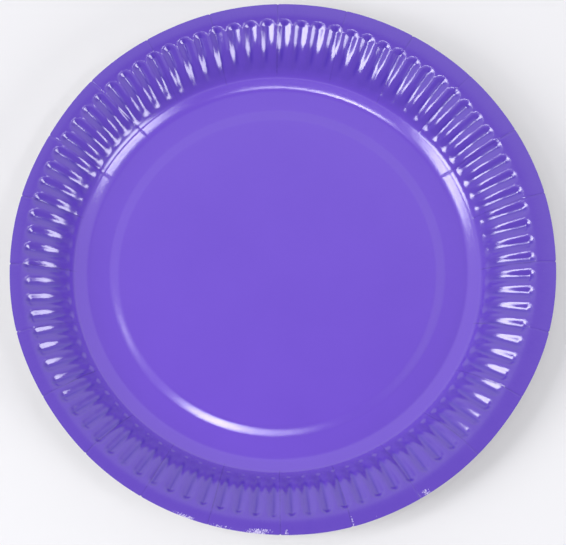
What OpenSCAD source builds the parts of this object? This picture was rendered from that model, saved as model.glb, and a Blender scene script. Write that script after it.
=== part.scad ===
// Round paper plate pressed from one disc of coated board.
// The press gives it a raised middle panel, a flat foot ring, a fluted wall and a plain lip.
// The origin is under the middle of the cut edge, on the table, and +Z is up.

/* [Plate] */
// Diameter of the cut edge
plate_d = 180; // [160:1:240]
// Thickness of the board
board_t = 0.35; // [0.25:0.05:0.6]
// Height of the shoulder's top above the table
plate_h = 13.5; // [12:0.1:19]

/* [Lip] */
// Mean width of the plain lip, from the flutes' outer ends to the cut edge
lip_w = 5.8; // [3.5:0.1:9]
// Fall of the lip towards its cut edge, in degrees
lip_fall = 2; // [1:1:14]
// How far the blank lay off the press to the right, so that the lip is wider there
trim_x = 1.3; // [-2:0.1:2]
// How far the blank lay off the press to the front
trim_y = 0.1; // [-2:0.1:2]

/* [Wall] */
// Slope of the bowed wall at its foot, in degrees from the table
wall_foot_slope = 54; // [46:1:60]
// Slope of the wall at its top, where the shoulder starts
wall_top_slope = 27; // [20:1:38]
// Radius of the shoulder, where the wall turns over into the lip
shoulder_r = 3; // [2:0.1:5]
// Radius of the corner, where the heel turns up into the wall
corner_r = 3; // [2:0.5:6]

/* [Base] */
// Width of the heel that rises gently from the foot ring to the corner
heel_w = 4; // [2:0.1:7]
// Slope of the heel, in degrees from the table
heel_slope = 20; // [10:1:30]
// Radius of the bend between the foot ring and the heel
heel_r = 4; // [2:0.5:8]
// Width of the flat foot ring that the plate stands on
foot_w = 7.3; // [3:0.1:14]
// Width of the sloping step between the foot ring and the middle panel
step_w = 4.1; // [1.5:0.1:9]
// Rise of the middle panel above the foot ring
panel_rise = 0.45; // [0.2:0.05:1.2]

/* [Flutes] */
// Number of flutes round the wall
flutes = 90; // [48:2:100]
// Height from a flute's valley to the ridge beside it, at the top of the wall
flute_depth = 1.15; // [0.3:0.05:1.4]
// Share of that height at the foot of the wall
foot_share = 0.4; // [0.2:0.05:0.8]

/* [Creases] */
// Number of score lines that let the blank gather as it is pressed
creases = 24; // [12:1:36]
// Depth of a crease below the board beside it
crease_depth = 0.12; // [0.05:0.01:0.25]
// Depth of the small notch that a crease leaves in the cut edge
notch_depth = 0.3; // [0.1:0.05:0.6]

/* [Hidden] */

// A flute is drawn by four columns, which are its valley, a flank, its ridge and the other flank
flute_cols = 4;
cols = flutes * flute_cols;
crease_cols = [for (k = [0 : creases - 1]) round(k * cols / creases)];
// Turn of the press about +Z, so that the first valley and crease lie where the real ones do
press_turn = 0.85;
press_at = [-trim_x, trim_y];
edge_r = plate_d / 2;

// The section follows the ridges. Its points are radius and height, and it is drawn inwards from
// the lip, while the heights of its heel and corner are counted up from the table.
function up_from(slope) = [-sin(slope), cos(slope)];
shoulder_c = [edge_r - lip_w - shoulder_r * sin(lip_fall), plate_h - shoulder_r];
lip_start = shoulder_c + shoulder_r * up_from(-lip_fall);
wall_top = shoulder_c + shoulder_r * up_from(wall_top_slope);
heel_rise = heel_r * (1 - cos(heel_slope)) + heel_w * tan(heel_slope);
corner_rise = corner_r * (cos(heel_slope) - cos(wall_foot_slope));
wall_rise = wall_top[1] - board_t - heel_rise - corner_rise;
wall_r = wall_rise / (cos(wall_top_slope) - cos(wall_foot_slope));
wall_c = wall_top - wall_r * up_from(wall_top_slope);
corner_c = wall_c + (wall_r + corner_r) * up_from(wall_foot_slope);
heel_end = corner_c - corner_r * up_from(heel_slope);
heel_start = heel_end - heel_w * [1, tan(heel_slope)];
heel_c = heel_start + heel_r * up_from(heel_slope);
foot_out = heel_c - heel_r * up_from(0);
step_out_r = foot_out[0] - foot_w;

// A ring of the section is [point, slope, depth of the flutes there]
function on_shoulder(slope, share) =
    [shoulder_c + shoulder_r * up_from(slope), slope, flute_depth * share];
function on_corner(slope) = [corner_c - corner_r * up_from(slope), slope, 0];
function on_wall(share) =
    let (slope = wall_foot_slope * (1 - share) + wall_top_slope * share)
        [wall_c + wall_r * up_from(slope), slope, flute_depth * (foot_share * (1 - share) + share)];

// Plain rings of the base and the heel, with one column to a flute
base_rings = [
    [[step_out_r - step_w, board_t + panel_rise], 0],
    [[step_out_r, board_t], 0],
    [foot_out, 0],
    [heel_start, heel_slope],
    [heel_end, heel_slope]
];
// Rings of the wall and the lip, with every column
wall_rings = [
    on_corner((heel_slope + wall_foot_slope) / 2),
    on_wall(0),
    on_wall(0.4),
    on_wall(1),
    on_shoulder(wall_top_slope / 2, 0.7),
    on_shoulder(-lip_fall, 0)
];

// Distance from the press's axis to the cut edge, in the direction `d`
function edge_from_press(d) = let (c = press_at * d) -c + sqrt(edge_r * edge_r - press_at * press_at + c * c);

function is_crease(j) = len(search(j % cols, crease_cols)) > 0;
function heading(j) = let (a = press_turn + 360 * j / cols) [cos(a), sin(a)];
function placed(j, r, z) = [press_at[0] + r * heading(j)[0], press_at[1] + r * heading(j)[1], z];

// Point of column j on a ring, on the top face or, a board's thickness under it, on the underside
function pressed(j, ring, under) =
    let (
        quarter = 2 * PI * ring[0][0] / cols,
        mitre = norm([1, ring[2] / 2 / quarter]),
        sink = ring[2] * (1 + cos(360 * j / flute_cols)) / 2 + (is_crease(j) ? crease_depth : 0),
        lift = -sink - (under ? board_t * mitre : 0),
        p = ring[0] + lift * up_from(ring[1])
    ) placed(j, p[0], p[1]);

// Point of column j on the cut edge
function cut(j, under) =
    let (
        r = edge_from_press(heading(j)) - (is_crease(j) ? notch_depth : 0),
        z = lip_start[1] - (r - lip_start[0]) * tan(lip_fall) - (is_crease(j) ? crease_depth : 0)
    ) placed(j, r, z - (under ? board_t / cos(lip_fall) : 0));

function plain(k, ring, under) =
    let (p = ring[0] - (under ? board_t : 0) * up_from(ring[1])) placed(k * flute_cols, p[0], p[1]);

function face_points(under) = [
    placed(0, 0, board_t + panel_rise - (under ? board_t : 0)),
    for (ring = base_rings) for (k = [0 : flutes - 1]) plain(k, ring, under),
    for (ring = wall_rings) for (j = [0 : cols - 1]) pressed(j, ring, under),
    for (j = [0 : cols - 1]) cut(j, under)
];

// Numbers of the points: the middle, then each ring in turn
side_count = 1 + len(base_rings) * flutes + (len(wall_rings) + 1) * cols;
function base_at(i, k) = 1 + i * flutes + k % flutes;
function wall_at(i, j) = 1 + len(base_rings) * flutes + i * cols + j % cols;
last_base = len(base_rings) - 1;

function quad(a, b, c, d) = [[a, b, c], [a, c, d]];
middle_faces = [for (k = [0 : flutes - 1]) [0, base_at(0, k + 1), base_at(0, k)]];
base_faces = [
    for (i = [0 : last_base - 1]) for (k = [0 : flutes - 1])
        each quad(base_at(i, k), base_at(i, k + 1), base_at(i + 1, k + 1), base_at(i + 1, k))
];
// From one column to a flute to every column
spread_faces = [
    for (k = [0 : flutes - 1]) let (a = base_at(last_base, k), b = base_at(last_base, k + 1), j = k * flute_cols)
        each [
            [a, wall_at(0, j + 1), wall_at(0, j)],
            [a, wall_at(0, j + 2), wall_at(0, j + 1)],
            [a, b, wall_at(0, j + 2)],
            [b, wall_at(0, j + 3), wall_at(0, j + 2)],
            [b, wall_at(0, j + 4), wall_at(0, j + 3)]
        ]
];
wall_faces = [
    for (i = [0 : len(wall_rings) - 1]) for (j = [0 : cols - 1])
        each quad(wall_at(i, j), wall_at(i, j + 1), wall_at(i + 1, j + 1), wall_at(i + 1, j))
];
top_faces = concat(middle_faces, base_faces, spread_faces, wall_faces);
under_faces = [for (f = top_faces) [for (n = [2 : -1 : 0]) f[n] + side_count]];
edge_faces = [
    for (j = [0 : cols - 1]) let (i = len(wall_rings))
        each quad(wall_at(i, j), wall_at(i, j + 1), wall_at(i, j + 1) + side_count, wall_at(i, j) + side_count)
];

module plate() {
    color([0.45, 0.3, 0.78])
    polyhedron(
        points = concat(face_points(false), face_points(true)),
        faces = concat(top_faces, under_faces, edge_faces)
    );
}

plate();
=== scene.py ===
"""A round paper plate, pressed from one disc of glossy violet board, on a plain pale floor.

The plate is one sheet: a raised middle panel, a flat foot ring, a sloping heel, a fluted wall,
a shoulder and a plain lip. Its sizes are in millimetres, and angles are in degrees. Radii and
angles are taken about the axis of the press, which lies a little off the middle of the cut disc.
"""

from __future__ import annotations

import logging
import math
from dataclasses import dataclass, field, replace
from enum import Enum
from typing import Any

import bpy
import numpy as np
from mathutils import Matrix, Vector

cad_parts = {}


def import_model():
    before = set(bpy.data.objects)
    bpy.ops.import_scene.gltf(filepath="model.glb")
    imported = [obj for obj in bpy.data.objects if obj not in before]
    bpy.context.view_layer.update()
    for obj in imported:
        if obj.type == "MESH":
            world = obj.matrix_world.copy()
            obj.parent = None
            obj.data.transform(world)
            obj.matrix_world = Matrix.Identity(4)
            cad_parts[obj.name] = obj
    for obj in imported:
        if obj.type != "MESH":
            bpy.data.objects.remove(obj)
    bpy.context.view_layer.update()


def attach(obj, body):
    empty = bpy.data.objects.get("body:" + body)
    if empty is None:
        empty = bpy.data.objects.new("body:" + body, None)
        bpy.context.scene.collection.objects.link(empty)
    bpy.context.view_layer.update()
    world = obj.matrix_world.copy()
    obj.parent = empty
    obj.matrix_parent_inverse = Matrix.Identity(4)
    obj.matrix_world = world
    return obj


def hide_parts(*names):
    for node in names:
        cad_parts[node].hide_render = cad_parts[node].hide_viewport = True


log = logging.getLogger("paper_plate")

MM = 0.001
FULL_TURN = 360.0
HALF_TURN = 180.0
PHOTO_WIDTH = 566
PHOTO_HEIGHT = 545

# Sockets of the Mix node in its colour form
MIX_FACTOR = 0
MIX_FIRST = 6
MIX_SECOND = 7
MIX_COLOUR = 2

Colour = tuple[float, float, float]
Direction = tuple[float, float, float]
Span = tuple[float, float]
Outline = tuple[int, ...]


class Face(Enum):
    """The three sides of the board, in the order of their material slots."""

    PRINTED = 0
    BARE = 1
    CUT = 2


class Mark(Enum):
    """Number fields of the plate's mesh, from about 0 to 1, that its coat reads."""

    # Where shade is painted along a crease.
    CREASE = "crease"
    WORN = "worn"
    # The wall and lip, painted a darker violet as shade, and the wall's streaks.
    WALL = "wall"
    # Where shade is painted along a valley's bottom.
    VALLEY_SHADE = "valley_shade"


class Maths(Enum):
    """Operations of the Math node that the finishes use."""

    ADD = "ADD"
    SUBTRACT = "SUBTRACT"
    MULTIPLY = "MULTIPLY"
    DIVIDE = "DIVIDE"
    POWER = "POWER"
    ARCTAN2 = "ARCTAN2"


def grow(value: np.ndarray, start: float, run: float) -> np.ndarray:
    """Grows evenly from 0 at `start` to 1 at `start` + `run`, which may lie below it."""
    return np.clip((value - start) / run, 0.0, 1.0)


def bell(distance: np.ndarray, width: float | np.ndarray) -> np.ndarray:
    """Falls smoothly from 1 at no distance to almost 0 at twice the width."""
    return np.exp(-((distance / width) ** 2))


def turn_from(start: float | np.ndarray, angle: np.ndarray) -> np.ndarray:
    """Gives the turn from `start` to `angle` by the shorter way round."""
    return (angle - start + HALF_TURN) % FULL_TURN - HALF_TURN


def band(low: int, high: int, columns: int) -> list[Outline]:
    """Lists the quads between two closed rings, which start at the points `low` and `high`."""
    after = [*range(1, columns), 0]
    return [(low + n, high + n, high + after[n], low + after[n]) for n in range(columns)]


def skin(middle: int, rings: int, columns: int, flip: bool) -> list[Outline]:
    """Lists the faces of one side of the board: a fan round its middle, then rings of quads.

    Args:
        middle: the number of the middle point, which the rings' points follow.
        rings: how many rings of points the side has.
        columns: how many points each ring has.
        flip: whether the faces look down.

    Returns:
        The faces, as numbers of points.
    """
    ring = middle + 1
    faces: list[Outline] = [(middle, ring + n, ring + (n + 1) % columns) for n in range(columns)]
    for low in range(ring, ring + (rings - 1) * columns, columns):
        faces += band(low, low + columns, columns)
    return [face[::-1] for face in faces] if flip else faces


@dataclass(frozen=True)
class Mottle:
    """One noise field's look: a blotch's width, and the number and strength of finer layers."""

    size: float
    detail: float = 3.0
    rough: float = 0.5


class Graph:
    """The node tree of one material or world, and the one way in which its nodes are added."""

    def __init__(self, owner: bpy.types.Material | bpy.types.World) -> None:
        """Empties the owner's node tree.

        Args:
            owner: the material or world to dress.
        """
        owner.use_nodes = True
        self.tree = owner.node_tree
        self.tree.nodes.clear()

    def add(
        self,
        kind: str,
        settings: dict[str, Any] | None = None,
        inputs: dict[str | int, Any] | None = None,
    ) -> bpy.types.Node:
        """Adds one node.

        Args:
            kind: the node's type, such as "ShaderNodeBump".
            settings: attributes that are set first, such as a Math node's operation.
            inputs: values or links of its sockets, by name or by number.

        Returns:
            The new node.
        """
        node = self.tree.nodes.new(kind)
        for name, value in (settings or {}).items():
            setattr(node, name, value)
        for name, value in (inputs or {}).items():
            socket = node.inputs[name]
            if isinstance(value, Number):
                value = value.socket
            if isinstance(value, bpy.types.NodeSocket):
                self.tree.links.new(value, socket)
            else:
                socket.default_value = value
        return node

    def noise(self, place: bpy.types.NodeSocket, mottle: Mottle) -> Number:
        """Adds a noise field.

        Args:
            place: the position that the noise is read at, in metres.
            mottle: the look of the noise.

        Returns:
            The noise, from 0 to 1.
        """
        node = self.add(
            "ShaderNodeTexNoise",
            {"noise_dimensions": "3D"},
            {
                "Vector": place,
                "Scale": 1.0 / (mottle.size * MM),
                "Detail": mottle.detail,
                "Roughness": mottle.rough,
            },
        )
        return Number(self, node.outputs["Factor" if "Factor" in node.outputs else "Fac"])

    def mark(self, mark: Mark) -> Number:
        """Reads one of the mesh's own number fields."""
        node = self.add("ShaderNodeAttribute", {"attribute_name": mark.value})
        return Number(self, node.outputs["Fac"])

    def mix(self, factor: Number | float, first: Any, second: Any) -> bpy.types.NodeSocket:
        """Mixes two colours.

        Args:
            factor: 0 for the first colour, 1 for the second.
            first: a colour or a colour socket.
            second: a colour or a colour socket.

        Returns:
            The mixed colour's socket.
        """
        inputs: dict[str | int, Any] = {MIX_FACTOR: factor}
        for index, value in ((MIX_FIRST, first), (MIX_SECOND, second)):
            inputs[index] = value if isinstance(value, bpy.types.NodeSocket) else (*value, 1.0)
        return self.add("ShaderNodeMix", {"data_type": "RGBA"}, inputs).outputs[MIX_COLOUR]

    def bump(self, height: Number, strength: float, depth: float) -> bpy.types.NodeSocket:
        """Turns a height field, whose unit is `depth` millimetres deep, into a normal."""
        inputs = {"Strength": strength, "Distance": depth * MM, "Height": height}
        return self.add("ShaderNodeBump", None, inputs).outputs["Normal"]

    def dress(self, inputs: dict[str | int, Any]) -> None:
        """Adds the surface's shader with these inputs, and joins it to the material's output."""
        shader = self.add("ShaderNodeBsdfPrincipled", None, inputs)
        self.add("ShaderNodeOutputMaterial", None, {"Surface": shader.outputs["BSDF"]})


class Number:
    """A number that changes over a surface: a socket whose arithmetic adds Math nodes."""

    def __init__(self, graph: Graph, socket: bpy.types.NodeSocket) -> None:
        """Wraps the output socket that carries the number in this node tree."""
        self.graph = graph
        self.socket = socket

    def _maths(self, operation: Maths, first: Any, second: Any) -> Number:
        """Adds one Math node.

        Args:
            operation: what the node does.
            first: the number or value of its first socket.
            second: the number or value of its second socket.

        Returns:
            The node's result.
        """
        node = self.graph.add(
            "ShaderNodeMath", {"operation": operation.value}, {0: first, 1: second}
        )
        return Number(self.graph, node.outputs[0])

    def __add__(self, other: Number | float) -> Number:
        """Returns self + other."""
        return self._maths(Maths.ADD, self, other)

    __radd__ = __add__

    def __sub__(self, other: Number | float) -> Number:
        """Returns self - other."""
        return self._maths(Maths.SUBTRACT, self, other)

    def __rsub__(self, other: Number | float) -> Number:
        """Returns other - self."""
        return self._maths(Maths.SUBTRACT, other, self)

    def __mul__(self, other: Number | float) -> Number:
        """Returns self * other."""
        return self._maths(Maths.MULTIPLY, self, other)

    __rmul__ = __mul__

    def __truediv__(self, other: Number | float) -> Number:
        """Returns self / other."""
        return self._maths(Maths.DIVIDE, self, other)

    def __rtruediv__(self, other: Number | float) -> Number:
        """Returns other / self."""
        return self._maths(Maths.DIVIDE, other, self)

    def __pow__(self, other: Number | float) -> Number:
        """Returns self to the power of other."""
        return self._maths(Maths.POWER, self, other)

    def __rpow__(self, other: Number | float) -> Number:
        """Returns other to the power of self."""
        return self._maths(Maths.POWER, other, self)

    def heading(self, east: Number | float) -> Number:
        """Gives the angle about the origin, in radians, of a point this far north of it."""
        return self._maths(Maths.ARCTAN2, self, east)

    def ramp(self, low: float, high: float) -> Number:
        """Turns the number smoothly from 0 at `low` to 1 at `high`.

        Args:
            low: the value that gives 0.
            high: the value that gives 1, which may be the lower of the two.

        Returns:
            The smoothed number, from 0 to 1.
        """
        flip = high < low
        node = self.graph.add(
            "ShaderNodeMapRange",
            {"interpolation_type": "SMOOTHSTEP"},
            {
                "Value": self,
                "From Min": min(low, high),
                "From Max": max(low, high),
                "To Min": 1.0 if flip else 0.0,
                "To Max": 0.0 if flip else 1.0,
            },
        )
        return Number(self.graph, node.outputs["Result"])


@dataclass(frozen=True)
class Bend:
    """The section's slope at one radius."""

    radius: float
    slope: float


@dataclass(frozen=True)
class Section:
    """The plain section of the pressed board, along a ridge between two flutes.

    The corners between two bends are rounded over `bend_reach` to either side. The heights are
    summed along a line from the middle to `line_end`, in steps of `line_step`.
    """

    edge_radius: float = 90.0
    board: float = 0.35
    foot_radius: float = 60.0
    panel_rise: float = 0.45
    step_in: float = 52.9
    step_out: float = 56.5
    step_ease: float = 0.6
    dome_in: float = 38.0
    dome: float = 0.018
    bends: tuple[Bend, ...] = (
        Bend(63.4, 0.0),
        Bend(64.0, 14.0),
        Bend(64.9, 17.0),
        Bend(65.3, 19.6),
        Bend(67.5, 20.0),
        Bend(68.2, 43.0),
        Bend(69.0, 48.0),
        Bend(69.8, 48.0),
        Bend(71.6, 49.5),
        Bend(73.0, 43.0),
        Bend(74.5, 40.3),
        Bend(76.0, 34.5),
        Bend(78.0, 27.7),
        Bend(80.0, 25.4),
        Bend(81.5, 25.2),
        Bend(82.4, 23.2),
        Bend(83.2, 8.0),
        Bend(84.0, 11.0),
        Bend(84.6, 9.5),
        Bend(85.2, 8.0),
        Bend(86.1, 1.3),
        Bend(90.0, -2.6),
    )
    bend_reach: float = 0.3
    bend_samples: int = 9
    line_end: float = 95.0
    line_step: float = 0.02

    def slopes(self, radius: np.ndarray) -> np.ndarray:
        """Gives the slope at each radius, in radians, up towards the lip.

        Args:
            radius: distances from the press's axis.

        Returns:
            The slopes, with the bends' corners rounded off.
        """
        reach = np.linspace(-self.bend_reach, self.bend_reach, self.bend_samples)
        places = [bend.radius for bend in self.bends]
        angles = [math.radians(bend.slope) for bend in self.bends]
        bent = np.mean([np.interp(radius + step, places, angles) for step in reach], axis=0)
        step_down = grow(radius, self.step_in, self.step_ease)
        step_down = step_down * grow(radius, self.step_out, -self.step_ease)
        fall = self.panel_rise / (self.step_out - self.step_in - self.step_ease)
        crown = grow(radius, self.dome_in, self.step_in - self.dome_in)
        crown = crown * (radius < self.step_in)
        return bent - np.arctan(np.maximum(fall * step_down, self.dome * crown))

    def heights(self, radius: np.ndarray) -> np.ndarray:
        """Gives the height of the printed face above the floor at each radius.

        Args:
            radius: distances from the press's axis.

        Returns:
            The heights.
        """
        line = np.arange(0.0, self.line_end, self.line_step)
        rise = np.tan(self.slopes(line + 0.5 * self.line_step)) * self.line_step
        height = np.concatenate(([0.0], np.cumsum(rise[:-1])))
        height += self.board - np.interp(self.foot_radius, line, height)
        return np.interp(radius, line, height)


@dataclass(frozen=True)
class Flutes:
    """The valleys pressed into the wall, each a groove with round ends that deepens outwards.

    A cap is the length of a round end. `uneven` holds the usual errors of a valley's depth, of
    its angle and of its length. Shade is painted as a dark line along a valley's bottom: it
    twists and narrows towards the lip, and its ends fade.
    """

    count: int = 90
    first: float = 0.843
    inner_depth: float = 0.3
    outer_depth: float = 1.188
    swell: float = 0.75
    inner_end: float = 70.5
    inner_cap: float = 1.15
    outer_end: float = 82.2
    outer_cap: float = 2.74
    columns: int = 12
    seed: int = 11
    uneven: tuple[float, float, float] = (0.05, 0.05, 0.10)
    # Where the painted shade line lies in each valley, how wide it is and where it fades.
    shade_aside: float = 0.4
    shade_twist: float = 0.5
    shade_width: float = 0.62
    shade_taper: float = 0.24
    shade_start: float = 0.6
    shade_grow: float = 1.8
    shade_past: float = 2.3
    shade_fade: float = 0.9

    @property
    def pitch(self) -> float:
        """Angle from one valley to the next."""
        return FULL_TURN / self.count

    def share(self, radius: np.ndarray) -> np.ndarray:
        """Gives the way along a valley, from 0 at its inner end to 1 at its outer end."""
        return (radius - self.inner_end) / (self.outer_end - self.inner_end)

    def sink(self, angle: np.ndarray, radius: np.ndarray) -> np.ndarray:
        """Gives how deep the face lies under the plain section.

        Args:
            angle: the points' angles about the press's axis.
            radius: their distances from it.

        Returns:
            The depth below the ridge line, square to the section.
        """
        half = 0.5 * self.pitch
        turn = angle - self.first + half
        number = np.floor(turn / self.pitch).astype(int) % self.count
        draw = np.random.default_rng(self.seed)
        deeper, aside, longer = (
            amount * draw.standard_normal(self.count)[number] for amount in self.uneven
        )
        edge = 1.0 - np.abs((turn % self.pitch) / half - 1.0)
        across = (turn % self.pitch - half - aside * edge) / half
        past_outer = np.clip((radius - self.outer_end - longer) / self.outer_cap, 0.0, None)
        past_inner = np.clip((self.inner_end + longer - radius) / self.inner_cap, 0.0, None)
        away = np.minimum(np.hypot(across, past_outer + past_inner), 1.0)
        deepening = np.clip(self.share(radius), 0.0, None) ** self.swell
        depth = self.inner_depth + deepening * (self.outer_depth - self.inner_depth)
        return 0.5 * depth * (1.0 + deeper) * (1.0 + np.cos(math.pi * away))

    def shade_lines(self, angle: np.ndarray, radius: np.ndarray) -> np.ndarray:
        """Gives how near each point lies to the bottom line of a valley, where shade is painted.

        Args:
            angle: the points' angles about the press's axis.
            radius: their distances from it.

        Returns:
            1 on the line, which is narrower towards the lip, and 0 away from it.
        """
        half = 0.5 * self.pitch
        share = self.share(radius)
        turn = angle - self.first - self.shade_aside + self.shade_twist * share
        turn = (turn + half) % self.pitch - half
        width = self.shade_width - self.shade_taper * np.clip(share, 0.0, 1.0)
        line = bell(np.radians(turn) * radius, width)
        line = line * grow(radius - self.inner_end, self.shade_start, self.shade_grow)
        return line * grow(radius, self.outer_end + self.shade_past, -self.shade_fade)


@dataclass(frozen=True)
class Crease:
    """One score line, which leans and wanders a little on its way in from the cut edge.

    It leans from `lean_from` inwards, over `lean_run`, and takes the board beside it along.
    """

    angle: float
    lean: float
    depth: float
    width: float
    inner: float
    notch: float
    sway: float
    phase: float
    # How dark the crease's painted shade line is.
    dark: float
    lean_from: float = 84.5
    lean_run: float = 18.0
    sway_rate: float = 0.55
    hold_width: float = 0.9

    def shift(self, radius: np.ndarray) -> np.ndarray:
        """Gives how far the line has turned from its own angle.

        Args:
            radius: distances from the press's axis.

        Returns:
            The turn.
        """
        inward = grow(radius, self.lean_from, -self.lean_run)
        wander = self.sway * np.sin(self.sway_rate * radius + self.phase)
        return self.lean * inward**2 + wander

    def hold(self, away: np.ndarray) -> np.ndarray:
        """Gives the share of the shift that the board takes, by the turn away from the line."""
        return bell(away, self.hold_width + self.hold_width * abs(self.lean))


@dataclass(frozen=True)
class Creases:
    """The score lines that let the flat blank gather as it is pressed.

    A pair of numbers is the range that a line's own value is drawn from. `heavy` gives the
    numbers and leans of the lines that folded hard, and `offsets` the extra columns of the mesh
    beside each line.
    """

    count: int = 24
    first: float = 0.25
    seed: int = 7
    angle_error: float = 0.12
    lean_error: float = 0.35
    depth: Span = (0.025, 0.055)
    width: Span = (0.15, 0.22)
    inner: Span = (66.4, 68.0)
    notch: Span = (0.05, 0.3)
    sway: Span = (0.02, 0.06)
    phase: Span = (0.0, 6.28)
    dark: Span = (0.35, 1.0)
    heavy: tuple[tuple[int, float], ...] = ((2, 0.6), (9, -1.9), (10, -0.5))
    heavy_depth: float = 0.10
    heavy_width: float = 0.3
    heavy_inner: float = 64.4
    offsets: tuple[float, ...] = (-0.5, -0.27, -0.12, 0.0, 0.12, 0.27, 0.5)

    def lines(self) -> list[Crease]:
        """Lists the creases, each a little different.

        Returns:
            One Crease for each score line, in order round the plate.
        """
        draw = np.random.default_rng(self.seed)
        step = FULL_TURN / self.count
        lines = [
            Crease(
                angle=self.first + step * number + draw.normal(0.0, self.angle_error),
                lean=draw.normal(0.0, self.lean_error),
                depth=draw.uniform(*self.depth),
                width=draw.uniform(*self.width),
                inner=draw.uniform(*self.inner),
                notch=draw.uniform(*self.notch),
                sway=draw.uniform(*self.sway),
                phase=draw.uniform(*self.phase),
                dark=draw.uniform(*self.dark),
            )
            for number in range(self.count)
        ]
        for number, lean in self.heavy:
            lines[number] = replace(
                lines[number],
                lean=lean,
                depth=self.heavy_depth,
                width=self.heavy_width,
                inner=self.heavy_inner,
            )
        return lines


@dataclass(frozen=True)
class Scuff:
    """A stretch where the print has flaked to the white core, near the cut edge or on a crease."""

    angle: float
    spread: float
    inner: float
    strength: float


@dataclass(frozen=True)
class CoatFinish:
    """Glossy violet print on the food side: grain, gloss, a scuffed rim and painted shade.

    `grain` and `peel` roughen the gloss, `cloud` mottles the print's tone, `speck` and `patch`
    break up the wear, and `streak` runs up the wall, stretched along it from a polar position.
    Shade is painted into the colour: a darker violet from the heel outwards, a dark line along
    each valley's bottom and a dark line in each crease.
    """

    name: str = "violet_gloss_coat"
    violet: Colour = (0.170, 0.075, 0.665)
    cloudy: Colour = (0.159, 0.069, 0.64)
    # Painted shade: the darker violet of the wall and lip, the line along each valley's bottom,
    # and the line in each crease.
    pressed: Colour = (0.124, 0.055, 0.532)
    valley_shade_colour: Colour = (0.066, 0.020, 0.46)
    crease_shaded: Colour = (0.050, 0.020, 0.25)
    core: Colour = (0.66, 0.60, 0.88)
    roughness: float = 0.13
    ior: float = 1.9
    grain: Mottle = Mottle(0.5, 4.0, 0.6)
    peel: Mottle = Mottle(2.6)
    cloud: Mottle = Mottle(26.0)
    speck: Mottle = Mottle(0.55, 3.0, 0.7)
    patch: Mottle = Mottle(6.5, 3.0, 0.6)
    streak: Mottle = Mottle(0.32, 2.0, 0.6)
    streak_turn: float = 0.078
    streak_reach: float = 0.14
    tone_cloud: float = 0.8
    tone_grain: float = 0.35
    tone_range: Span = (0.3, 0.9)
    # How strongly shade is painted along the valleys' bottoms.
    valley_shade_amount: float = 0.75
    streak_mix: float = 0.5
    streak_range: Span = (0.42, 0.72)
    streak_dark: float = 0.16
    crease_patch: float = 0.6
    crease_speck: float = 0.5
    crease_range: Span = (0.3, 0.75)
    # How strongly shade is painted in the creases.
    crease_shade_amount: float = 0.8
    wear: float = 0.53
    wear_speck: float = 0.9
    wear_patch: float = 0.2
    wear_range: Span = (0.99, 1.10)
    wear_white: float = 0.85
    wear_dull: float = 0.3
    grain_dull: float = 0.03
    grain_height: float = 0.85
    streak_height: float = 1.8
    bump_strength: float = 0.25
    bump_depth: float = 0.05

    def make(self) -> bpy.types.Material:
        """Builds the finish.

        Returns:
            The material.
        """
        material = bpy.data.materials.new(self.name)
        graph = Graph(material)
        place = graph.add("ShaderNodeTexCoord").outputs["Object"]
        grain = graph.noise(place, self.grain)
        peel = graph.noise(place, self.peel)
        cloud = graph.noise(place, self.cloud)
        speck = graph.noise(place, self.speck)
        patch = graph.noise(place, self.patch)
        streak = graph.noise(self._polar(graph, place), self.streak)
        wall = graph.mark(Mark.WALL)
        wear = graph.mark(Mark.WORN) * self.wear
        worn = (wear + (speck * self.wear_speck + patch * self.wear_patch)).ramp(*self.wear_range)

        tone = (cloud * self.tone_cloud + grain * self.tone_grain).ramp(*self.tone_range)
        # The wall and lip are painted a darker violet, as shade.
        printed = graph.mix(wall, graph.mix(tone, self.violet, self.cloudy), self.pressed)
        streaks = (patch * self.streak_mix + streak * self.streak_mix).ramp(*self.streak_range)
        # Shade painted along each valley's bottom, with random dark streaks up the wall.
        darker = graph.mark(Mark.VALLEY_SHADE) * self.valley_shade_amount + streaks * wall * self.streak_dark
        fluted = graph.mix(darker, printed, self.valley_shade_colour)
        # Shade painted in the creases, broken up by noise.
        shade_breakup = (patch * self.crease_patch + speck * self.crease_speck).ramp(*self.crease_range)
        line = graph.mark(Mark.CREASE) * shade_breakup
        crease_shaded = graph.mix(line * self.crease_shade_amount, fluted, self.crease_shaded)

        height = grain * self.grain_height + peel + streak * wall * self.streak_height
        graph.dress(
            {
                "Base Color": graph.mix(worn * self.wear_white, crease_shaded, self.core),
                "Roughness": self.roughness + grain * self.grain_dull + worn * self.wear_dull,
                "IOR": self.ior,
                "Normal": graph.bump(height, self.bump_strength, self.bump_depth),
            }
        )
        return material

    def _polar(self, graph: Graph, place: bpy.types.NodeSocket) -> bpy.types.NodeSocket:
        """Turns a position into one that changes slowly along the wall and fast round it.

        Args:
            graph: the finish's node tree.
            place: the position on the plate.

        Returns:
            The polar position's socket.
        """
        axes = graph.add("ShaderNodeSeparateXYZ", None, {0: place}).outputs
        east, north = Number(graph, axes["X"]), Number(graph, axes["Y"])
        far = (east * east + north * north) ** 0.5
        parts = {0: north.heading(east) * self.streak_turn, 1: far * self.streak_reach}
        return graph.add("ShaderNodeCombineXYZ", None, parts).outputs[0]


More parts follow.
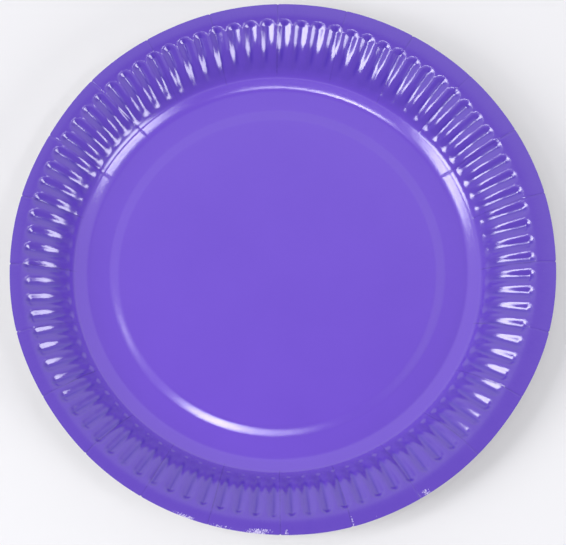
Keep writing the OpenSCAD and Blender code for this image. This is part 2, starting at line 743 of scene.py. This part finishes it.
@dataclass(frozen=True)
class BareFinish:
    """Uncoated white board: dull, with soft fibres."""

    name: str = "bare_white_board"
    white: Colour = (0.80, 0.79, 0.77)
    shade: Colour = (0.70, 0.69, 0.67)
    roughness: float = 0.85
    fibre: Mottle = Mottle(0.7, 5.0, 0.65)
    cloud: Mottle = Mottle(9.0)
    tone_fibre: float = 0.6
    tone_cloud: float = 0.5
    tone_range: Span = (0.35, 0.8)
    bump_strength: float = 0.4
    bump_depth: float = 0.06

    def make(self) -> bpy.types.Material:
        """Builds the finish.

        Returns:
            The material.
        """
        material = bpy.data.materials.new(self.name)
        graph = Graph(material)
        place = graph.add("ShaderNodeTexCoord").outputs["Object"]
        fibres = graph.noise(place, self.fibre)
        cloud = graph.noise(place, self.cloud)
        tone = (fibres * self.tone_fibre + cloud * self.tone_cloud).ramp(*self.tone_range)
        graph.dress(
            {
                "Base Color": graph.mix(tone, self.white, self.shade),
                "Roughness": self.roughness,
                "Normal": graph.bump(fibres, self.bump_strength, self.bump_depth),
            }
        )
        return material


@dataclass
class PaperPlate:
    """The plate: its section, flutes and creases, and the finishes of its board.

    `foot_aside` is how far the foot lies to the side of the lip, inside `aside_from`. A row of
    `edge_waves` is how often the cut edge waves round the plate, by how much, and from where. A
    row of `wall_rings` is the first radius, the last and the step of a run of the mesh's rings.
    The board gathers in ripples where a crease crosses the shoulder.
    """

    section: Section = field(default_factory=Section)
    flutes: Flutes = field(default_factory=Flutes)
    creases: Creases = field(default_factory=Creases)
    coat: CoatFinish = field(default_factory=CoatFinish)
    bare: BareFinish = field(default_factory=BareFinish)
    cut: BareFinish = field(
        default_factory=lambda: BareFinish(
            name="cut_board_core",
            white=(0.74, 0.69, 0.88),
            shade=(0.56, 0.48, 0.80),
            roughness=0.7,
            fibre=Mottle(0.4, 5.0, 0.65),
        )
    )
    press_x: float = -1.35
    press_y: float = 0.05
    foot_aside: float = -0.6
    aside_from: float = 80.0
    aside_run: float = 12.0
    edge_waves: tuple[tuple[int, float, float], ...] = (
        (2, 0.142, -91.0),
        (3, 0.077, 95.0),
        (4, 0.101, -51.0),
        (5, 0.082, 83.0),
        (6, 0.054, 10.0),
        (7, 0.088, 143.0),
        (10, 0.040, 138.0),
        (12, 0.045, -162.0),
    )
    scuffs: tuple[Scuff, ...] = (
        Scuff(240.0, 8.0, 88.9, 0.8),
        Scuff(250.0, 5.0, 87.9, 0.95),
        Scuff(258.0, 5.0, 88.0, 0.9),
        Scuff(266.0, 5.0, 87.6, 0.95),
        Scuff(271.6, 0.8, 87.3, 0.9),
        Scuff(195.3, 1.0, 86.8, 0.75),
        Scuff(285.5, 0.3, 86.2, 1.0),
        Scuff(302.0, 1.6, 88.0, 0.95),
        Scuff(330.3, 0.9, 84.2, 0.55),
        Scuff(358.0, 0.7, 85.0, 0.6),
        Scuff(181.0, 1.5, 88.6, 0.75),
        Scuff(68.0, 8.0, 89.2, 0.7),
        Scuff(150.0, 0.8, 84.0, 0.6),
        Scuff(134.5, 1.2, 83.0, 0.55),
        Scuff(30.2, 0.7, 83.8, 0.5),
        Scuff(290.5, 0.5, 87.5, 0.75),
    )
    scuff_grow: float = 0.8
    # Where the painted shade of the wall starts, and how far it takes to grow in.
    wall_from: float = 67.5
    wall_blend: float = 3.0
    notch_width: float = 0.15
    # Width of the painted shade line along a crease.
    line_width: float = 0.17
    line_grow: float = 1.6
    gather_depth: float = 0.05
    gather_radius: float = 84.6
    gather_width: float = 1.0
    gather_angle: float = 0.9
    ripple_round: float = 9.0
    ripple_out: float = 2.2
    column_gap: float = 0.09
    panel_rings: tuple[float, ...] = (22.0, 42.0, 51.0)
    step_rings: tuple[float, ...] = (-0.3, 0.3, 1.0, 2.2)
    foot_rings: tuple[float, ...] = (59.5, 62.6)
    wall_rings: tuple[tuple[float, float, float], ...] = (
        (63.2, 66.8, 0.48),
        (66.9, 69.3, 0.34),
        (69.5, 71.9, 0.42),
        (72.6, 81.6, 1.1),
        (82.0, 85.4, 0.34),
    )
    lip_rings: int = 6
    under_first: int = 4
    under_every: int = 3
    under_last: int = 2
    sharp_angle: float = 50.0

    def columns(self, lines: list[Crease]) -> np.ndarray:
        """Lists the angles of the mesh's columns.

        Args:
            lines: the creases, which get closer columns.

        Returns:
            Sorted angles about the press's axis.
        """
        count = self.flutes.count * self.flutes.columns
        step = self.flutes.pitch / self.flutes.columns
        even = (self.flutes.first + step * np.arange(count)) % FULL_TURN
        near = np.array([line.angle + offset for line in lines for offset in self.creases.offsets])
        gap = np.abs(turn_from(near[None, :], even[:, None])).min(axis=1)
        return np.unique(np.concatenate((even[gap > self.column_gap], near % FULL_TURN)))

    def ring_radii(self) -> np.ndarray:
        """Lists the radii of the rings from the middle panel to the start of the lip.

        Returns:
            The radii, which are closer together where the section bends.
        """
        ease = self.section.step_ease * np.array(self.step_rings)
        step_in = self.section.step_in + ease
        step_out = (self.section.step_out - ease)[::-1]
        runs = [np.arange(start, stop, step) for start, stop, step in self.wall_rings]
        return np.concatenate((self.panel_rings, step_in, step_out, self.foot_rings, *runs))

    def edge_radii(self, angle: np.ndarray, lines: list[Crease]) -> np.ndarray:
        """Gives the distance of the cut edge from the press's axis.

        Args:
            angle: the columns' angles.
            lines: the creases, which leave notches in the edge.

        Returns:
            One radius for each column.
        """
        wander = sum(
            size * np.cos(np.radians(turns * angle + start))
            for turns, size, start in self.edge_waves
        )
        way = np.radians(angle)
        toward = self.press_x * np.cos(way) + self.press_y * np.sin(way)
        edge_squared = self.section.edge_radius**2 - self.press_x**2 - self.press_y**2
        edge = -toward + np.sqrt(edge_squared + toward**2) + wander
        for line in lines:
            edge -= line.notch * bell(turn_from(line.angle, angle), self.notch_width)
        return edge

    def radii(self, angle: np.ndarray, lines: list[Crease]) -> np.ndarray:
        """Gives the radius of every point: whole rings, then a lip that follows the cut edge.

        Args:
            angle: the columns' angles.
            lines: the creases.

        Returns:
            The radii (ring, column).
        """
        rings = self.ring_radii()
        share = (np.arange(1, self.lip_rings + 1) / self.lip_rings)[:, None]
        lip = rings[-1] + share * (self.edge_radii(angle, lines) - rings[-1])
        return np.concatenate((np.repeat(rings[:, None], len(angle), axis=1), lip))

    def gather(
        self, angle: np.ndarray, radius: np.ndarray, lines: list[Crease]
    ) -> tuple[np.ndarray, np.ndarray, np.ndarray]:
        """Gathers the board at the creases.

        Args:
            angle: the columns' angles.
            radius: the points' radii (ring, column).
            lines: the creases.

        Returns:
            Of each point its angle once it is pulled along, how deep it is pinched, and how
            much painted shade darkens it along a crease.
        """
        turned = np.repeat(angle[None, :], len(radius), axis=0)
        pinch = np.zeros_like(radius)
        crease_shadow = np.zeros_like(radius)
        outside = radius > self.section.foot_radius
        for line in lines:
            away = turn_from(line.angle, angle)[None, :]
            turned = turned + line.hold(away) * line.shift(radius) * outside
            across = away * math.pi / HALF_TURN * radius
            reach = grow(radius, line.inner, self.line_grow)
            pinch += line.depth * reach * bell(across, line.width)
            # Shade painted along the crease.
            crease_shadow += line.dark * reach * bell(across, self.line_width)
            near = bell(radius - self.gather_radius, self.gather_width)
            near = near * bell(away, self.gather_angle)
            ripple = np.sin(self.ripple_round * away + self.ripple_out * radius + line.phase)
            pinch += self.gather_depth * near * ripple
        return turned, pinch, np.clip(crease_shadow, 0.0, 1.0)

    def wear(self, angle: np.ndarray, radius: np.ndarray) -> np.ndarray:
        """Gives how scuffed the print is.

        Args:
            angle: the columns' angles.
            radius: the points' radii (ring, column).

        Returns:
            0 on sound print, up to 1 where the most has flaked off.
        """
        worn = np.zeros_like(radius)
        for scuff in self.scuffs:
            near = scuff.strength * bell(turn_from(scuff.angle, angle), scuff.spread)[None, :]
            worn = np.maximum(worn, near * grow(radius, scuff.inner, self.scuff_grow))
        return worn

    def face(
        self, angle: np.ndarray, lines: list[Crease]
    ) -> tuple[np.ndarray, dict[Mark, np.ndarray]]:
        """Presses the printed face.

        Args:
            angle: the columns' angles.
            lines: the creases.

        Returns:
            Points (ring, column, xyz), and by mark how much each lies on a crease's painted
            shade line, on scuffed print, on the darker-painted wall and on a valley's painted
            shade line.
        """
        radius = self.radii(angle, lines)
        turned, pinch, crease_shadow = self.gather(angle, radius, lines)
        slope = self.section.slopes(radius)
        down = self.flutes.sink(turned, radius) + pinch
        out = radius + down * np.sin(slope)
        up = self.section.heights(radius) - down * np.cos(slope)
        way = np.radians(turned)
        middle = self.press_x + self.foot_aside * grow(radius, self.aside_from, -self.aside_run)
        points = np.stack(
            (middle + out * np.cos(way), self.press_y + out * np.sin(way), up), axis=-1
        )
        marks = {
            Mark.CREASE: crease_shadow,
            Mark.WORN: self.wear(angle, radius),
            Mark.WALL: grow(radius, self.wall_from, self.wall_blend),
            # Shade painted along each valley's bottom.
            Mark.VALLEY_SHADE: self.flutes.shade_lines(turned, radius),
        }
        return points, marks

    @staticmethod
    def normals(points: np.ndarray) -> np.ndarray:
        """Gives the upward normals of a closed ring grid.

        Args:
            points: the grid, (ring, column, xyz).

        Returns:
            Unit normals of the same shape.
        """
        round_it = np.roll(points, -1, axis=1) - np.roll(points, 1, axis=1)
        outward = np.gradient(points, axis=0)
        normal = np.cross(outward, round_it)
        return normal / np.linalg.norm(normal, axis=-1, keepdims=True)

    def underside(self, top: np.ndarray) -> np.ndarray:
        """Sets the bare face off from the printed one by the board's thickness.

        Args:
            top: the printed face's points (ring, column, xyz).

        Returns:
            The bare face's points, which have fewer rings and stay above the floor.
        """
        last = len(top) - self.under_last
        kept = [
            ring
            for ring in range(len(top))
            if ring < self.under_first or ring % self.under_every == 0 or ring >= last
        ]
        under = (top - self.section.board * self.normals(top))[kept]
        under[..., 2] = np.maximum(under[..., 2], 0.0)
        return under

    def build(self) -> bpy.types.Object:
        """Builds the plate as one closed mesh and dresses it.

        Returns:
            The plate's object, at the origin.
        """
        lines = self.creases.lines()
        angle = self.columns(lines)
        top, marks = self.face(angle, lines)
        under = self.underside(top)
        middle = np.array([[self.press_x + self.foot_aside, self.press_y, top[0, :, 2].mean()]])
        beneath = middle - np.array([[0.0, 0.0, self.section.board]])
        points = np.concatenate((middle, top.reshape(-1, 3), beneath, under.reshape(-1, 3)))

        columns = len(angle)
        under_middle = 1 + len(top) * columns
        sides = {
            Face.PRINTED: skin(0, len(top), columns, flip=False),
            Face.BARE: skin(under_middle, len(under), columns, flip=True),
            Face.CUT: band(under_middle - columns, len(points) - columns, columns),
        }
        faces = [outline for side in sides.values() for outline in side]
        slots = [face.value for face, side in sides.items() for _ in side]

        mesh = bpy.data.meshes.new("paper_plate")
        mesh.from_pydata((points * MM).tolist(), [], faces)
        mesh.polygons.foreach_set("material_index", slots)
        for mark, values in marks.items():
            layer = mesh.attributes.new(mark.value, "FLOAT", "POINT")
            full = np.zeros(len(points))
            full[1 : 1 + values.size] = values.ravel()
            layer.data.foreach_set("value", full.astype(np.float32))
        for finish in (self.coat, self.bare, self.cut):
            mesh.materials.append(finish.make())
        mesh.shade_smooth()
        mesh.set_sharp_from_angle(angle=math.radians(self.sharp_angle))
        mesh.update()
        plate = bpy.data.objects.new("paper_plate", mesh)
        bpy.context.scene.collection.objects.link(plate)
        return plate


@dataclass(frozen=True)
class Lamp:
    """A soft box, given by the direction that it shines from; its sizes are in metres."""

    name: str
    toward: Direction
    distance: float
    width: float
    length: float
    power: float
    lengthwise: Direction = (0.0, 0.0, 1.0)

    def build(self) -> bpy.types.Object:
        """Builds the lamp and turns it to the plate.

        Returns:
            The lamp's object.
        """
        data = bpy.data.lights.new(self.name, "AREA")
        data.shape = "RECTANGLE"
        data.size = self.width
        data.size_y = self.length
        data.energy = self.power
        lamp = bpy.data.objects.new(self.name, data)
        back = Vector(self.toward).normalized()
        along = Vector(self.lengthwise)
        along = (along - back * along.dot(back)).normalized()
        axes = Matrix((along.cross(back), along, back)).transposed()
        lamp.matrix_world = Matrix.Translation(back * self.distance) @ axes.to_4x4()
        bpy.context.scene.collection.objects.link(lamp)
        return lamp


@dataclass
class Studio:
    """The pale floor, the lamps, the soft surround and the camera.

    The floor's half width and the depth of view are in metres. A `lean` is a range of how far a
    direction leans from straight up, as a sine, over which a part of the room's light grows, and
    a `turn` is such a range of how far north the direction points.
    """

    floor_colour: Colour = (0.845, 0.84, 0.87)
    floor_roughness: float = 0.6
    floor_half: float = 3.0
    floor_drop: float = 0.02
    rim_height: float = 13.3
    tilt: float = 13.657
    camera_distance: float = 758.9
    focal_pixels: float = 2300.5
    rim_centre_x: float = 283.15
    rim_centre_y: float = 262.64
    sensor_width: float = 36.0
    view_depth: float = 50.0
    surround: Colour = (0.985, 0.985, 1.0)
    room_glow: float = 0.205
    far_glow: float = 0.48
    far_lean: Span = (0.12, 0.44)
    far_turn: Span = (-0.32, 0.12)
    horizon_glow: float = 0.12
    horizon_lean: Span = (0.75, 0.95)
    side_shade: float = 0.75
    side_lean: Span = (0.9, 0.99)
    side_turn: Span = (0.55, 0.15)
    front_glow: float = 0.5
    front_lean_in: Span = (0.46, 0.54)
    front_lean_out: Span = (0.76, 0.66)
    front_turn: Span = (-0.3, -0.7)
    lamps: tuple[Lamp, ...] = (
        Lamp("left_box", (-0.463, -0.048, 0.885), 1.3, 0.17, 0.40, 1.55, (0.15, 1.0, 0.0)),
        Lamp("right_box", (0.427, -0.147, 0.892), 1.3, 0.15, 0.36, 1.35, (0.66, 0.75, 0.0)),
        Lamp("top_box", (-0.156, -0.134, 0.977), 1.5, 0.20, 0.12, 0.72, (0.36, 0.93, 0.0)),
        Lamp("front_box", (-0.0925, -0.189, 0.978), 1.5, 0.11, 0.54, 1.1, (1.0, -0.22, 0.0)),
        Lamp("left_low", (-0.786, -0.248, 0.566), 2.2, 0.81, 1.29, 23.0),
        Lamp("right_low", (0.795, -0.455, 0.397), 2.2, 0.85, 1.02, 15.4),
    )

    def build(self) -> None:
        """Builds everything that stands around the plate."""
        self._floor()
        self._world()
        for lamp in self.lamps:
            lamp.build()
        self._camera()
        bpy.context.scene.view_settings.view_transform = "Standard"

    def _floor(self) -> None:
        """Lays the plain pale floor just under the foot ring."""
        half = self.floor_half
        square = [(-half, -half), (half, -half), (half, half), (-half, half)]
        mesh = bpy.data.meshes.new("floor")
        mesh.from_pydata([(x, y, -self.floor_drop * MM) for x, y in square], [], [(0, 1, 2, 3)])
        material = bpy.data.materials.new("pale_floor")
        Graph(material).dress(
            {"Base Color": (*self.floor_colour, 1.0), "Roughness": self.floor_roughness}
        )
        mesh.materials.append(material)
        floor = bpy.data.objects.new("floor", mesh)
        bpy.context.scene.collection.objects.link(floor)

    def _world(self) -> None:
        """Sets the soft light of the room."""
        world = bpy.data.worlds.new("studio_room")
        bpy.context.scene.world = world
        graph = Graph(world)
        sky = graph.add("ShaderNodeTexCoord").outputs["Generated"]
        axes = graph.add("ShaderNodeSeparateXYZ", None, {0: sky}).outputs
        height = Number(graph, axes["Z"])
        lean = (1.0 - height * height) ** 0.5
        north = Number(graph, axes["Y"]) / lean
        wall = lean.ramp(*self.far_lean) * self.far_glow
        wall = wall + lean.ramp(*self.horizon_lean) * self.horizon_glow
        aside = lean.ramp(*self.side_lean) * north.ramp(*self.side_turn)
        wall = wall * north.ramp(*self.far_turn) * (1.0 - aside * self.side_shade)
        front = lean.ramp(*self.front_lean_in) * lean.ramp(*self.front_lean_out)
        front = front * north.ramp(*self.front_turn) * self.front_glow
        glow = graph.add(
            "ShaderNodeBackground",
            None,
            {"Color": (*self.surround, 1.0), "Strength": self.room_glow + wall + front},
        )
        graph.add("ShaderNodeOutputWorld", None, {"Surface": glow.outputs["Background"]})

    def _camera(self) -> None:
        """Places the camera where the photograph was taken from."""
        tilt = math.radians(self.tilt)
        back = Vector((0.0, -math.sin(tilt), math.cos(tilt)))
        upward = Vector((0.0, math.cos(tilt), math.sin(tilt)))
        right = Vector((1.0, 0.0, 0.0))
        data = bpy.data.cameras.new("camera")
        data.sensor_fit = "HORIZONTAL"
        data.sensor_width = self.sensor_width
        data.lens = self.focal_pixels / PHOTO_WIDTH * data.sensor_width
        data.clip_end = self.view_depth
        camera = bpy.data.objects.new("camera", data)
        rim = Vector((0.0, 0.0, self.rim_height))
        place = rim + back * self.camera_distance
        per_pixel = self.camera_distance / self.focal_pixels
        aim = rim + right * (PHOTO_WIDTH / 2 - self.rim_centre_x) * per_pixel
        aim -= upward * (PHOTO_HEIGHT / 2 - self.rim_centre_y) * per_pixel
        camera.location = place * MM
        camera.rotation_euler = (place - aim).to_track_quat("Z", "Y").to_euler()
        bpy.context.scene.collection.objects.link(camera)
        bpy.context.scene.camera = camera


def main() -> None:
    """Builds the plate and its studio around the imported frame."""
    logging.basicConfig(level=logging.INFO, format="%(name)s: %(message)s")
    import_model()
    Studio().build()
    plate = PaperPlate().build()
    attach(plate, "root")
    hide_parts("plate")
    log.info("%s: %d faces", plate.name, len(plate.data.polygons))


if __name__ == "__main__":
    main()
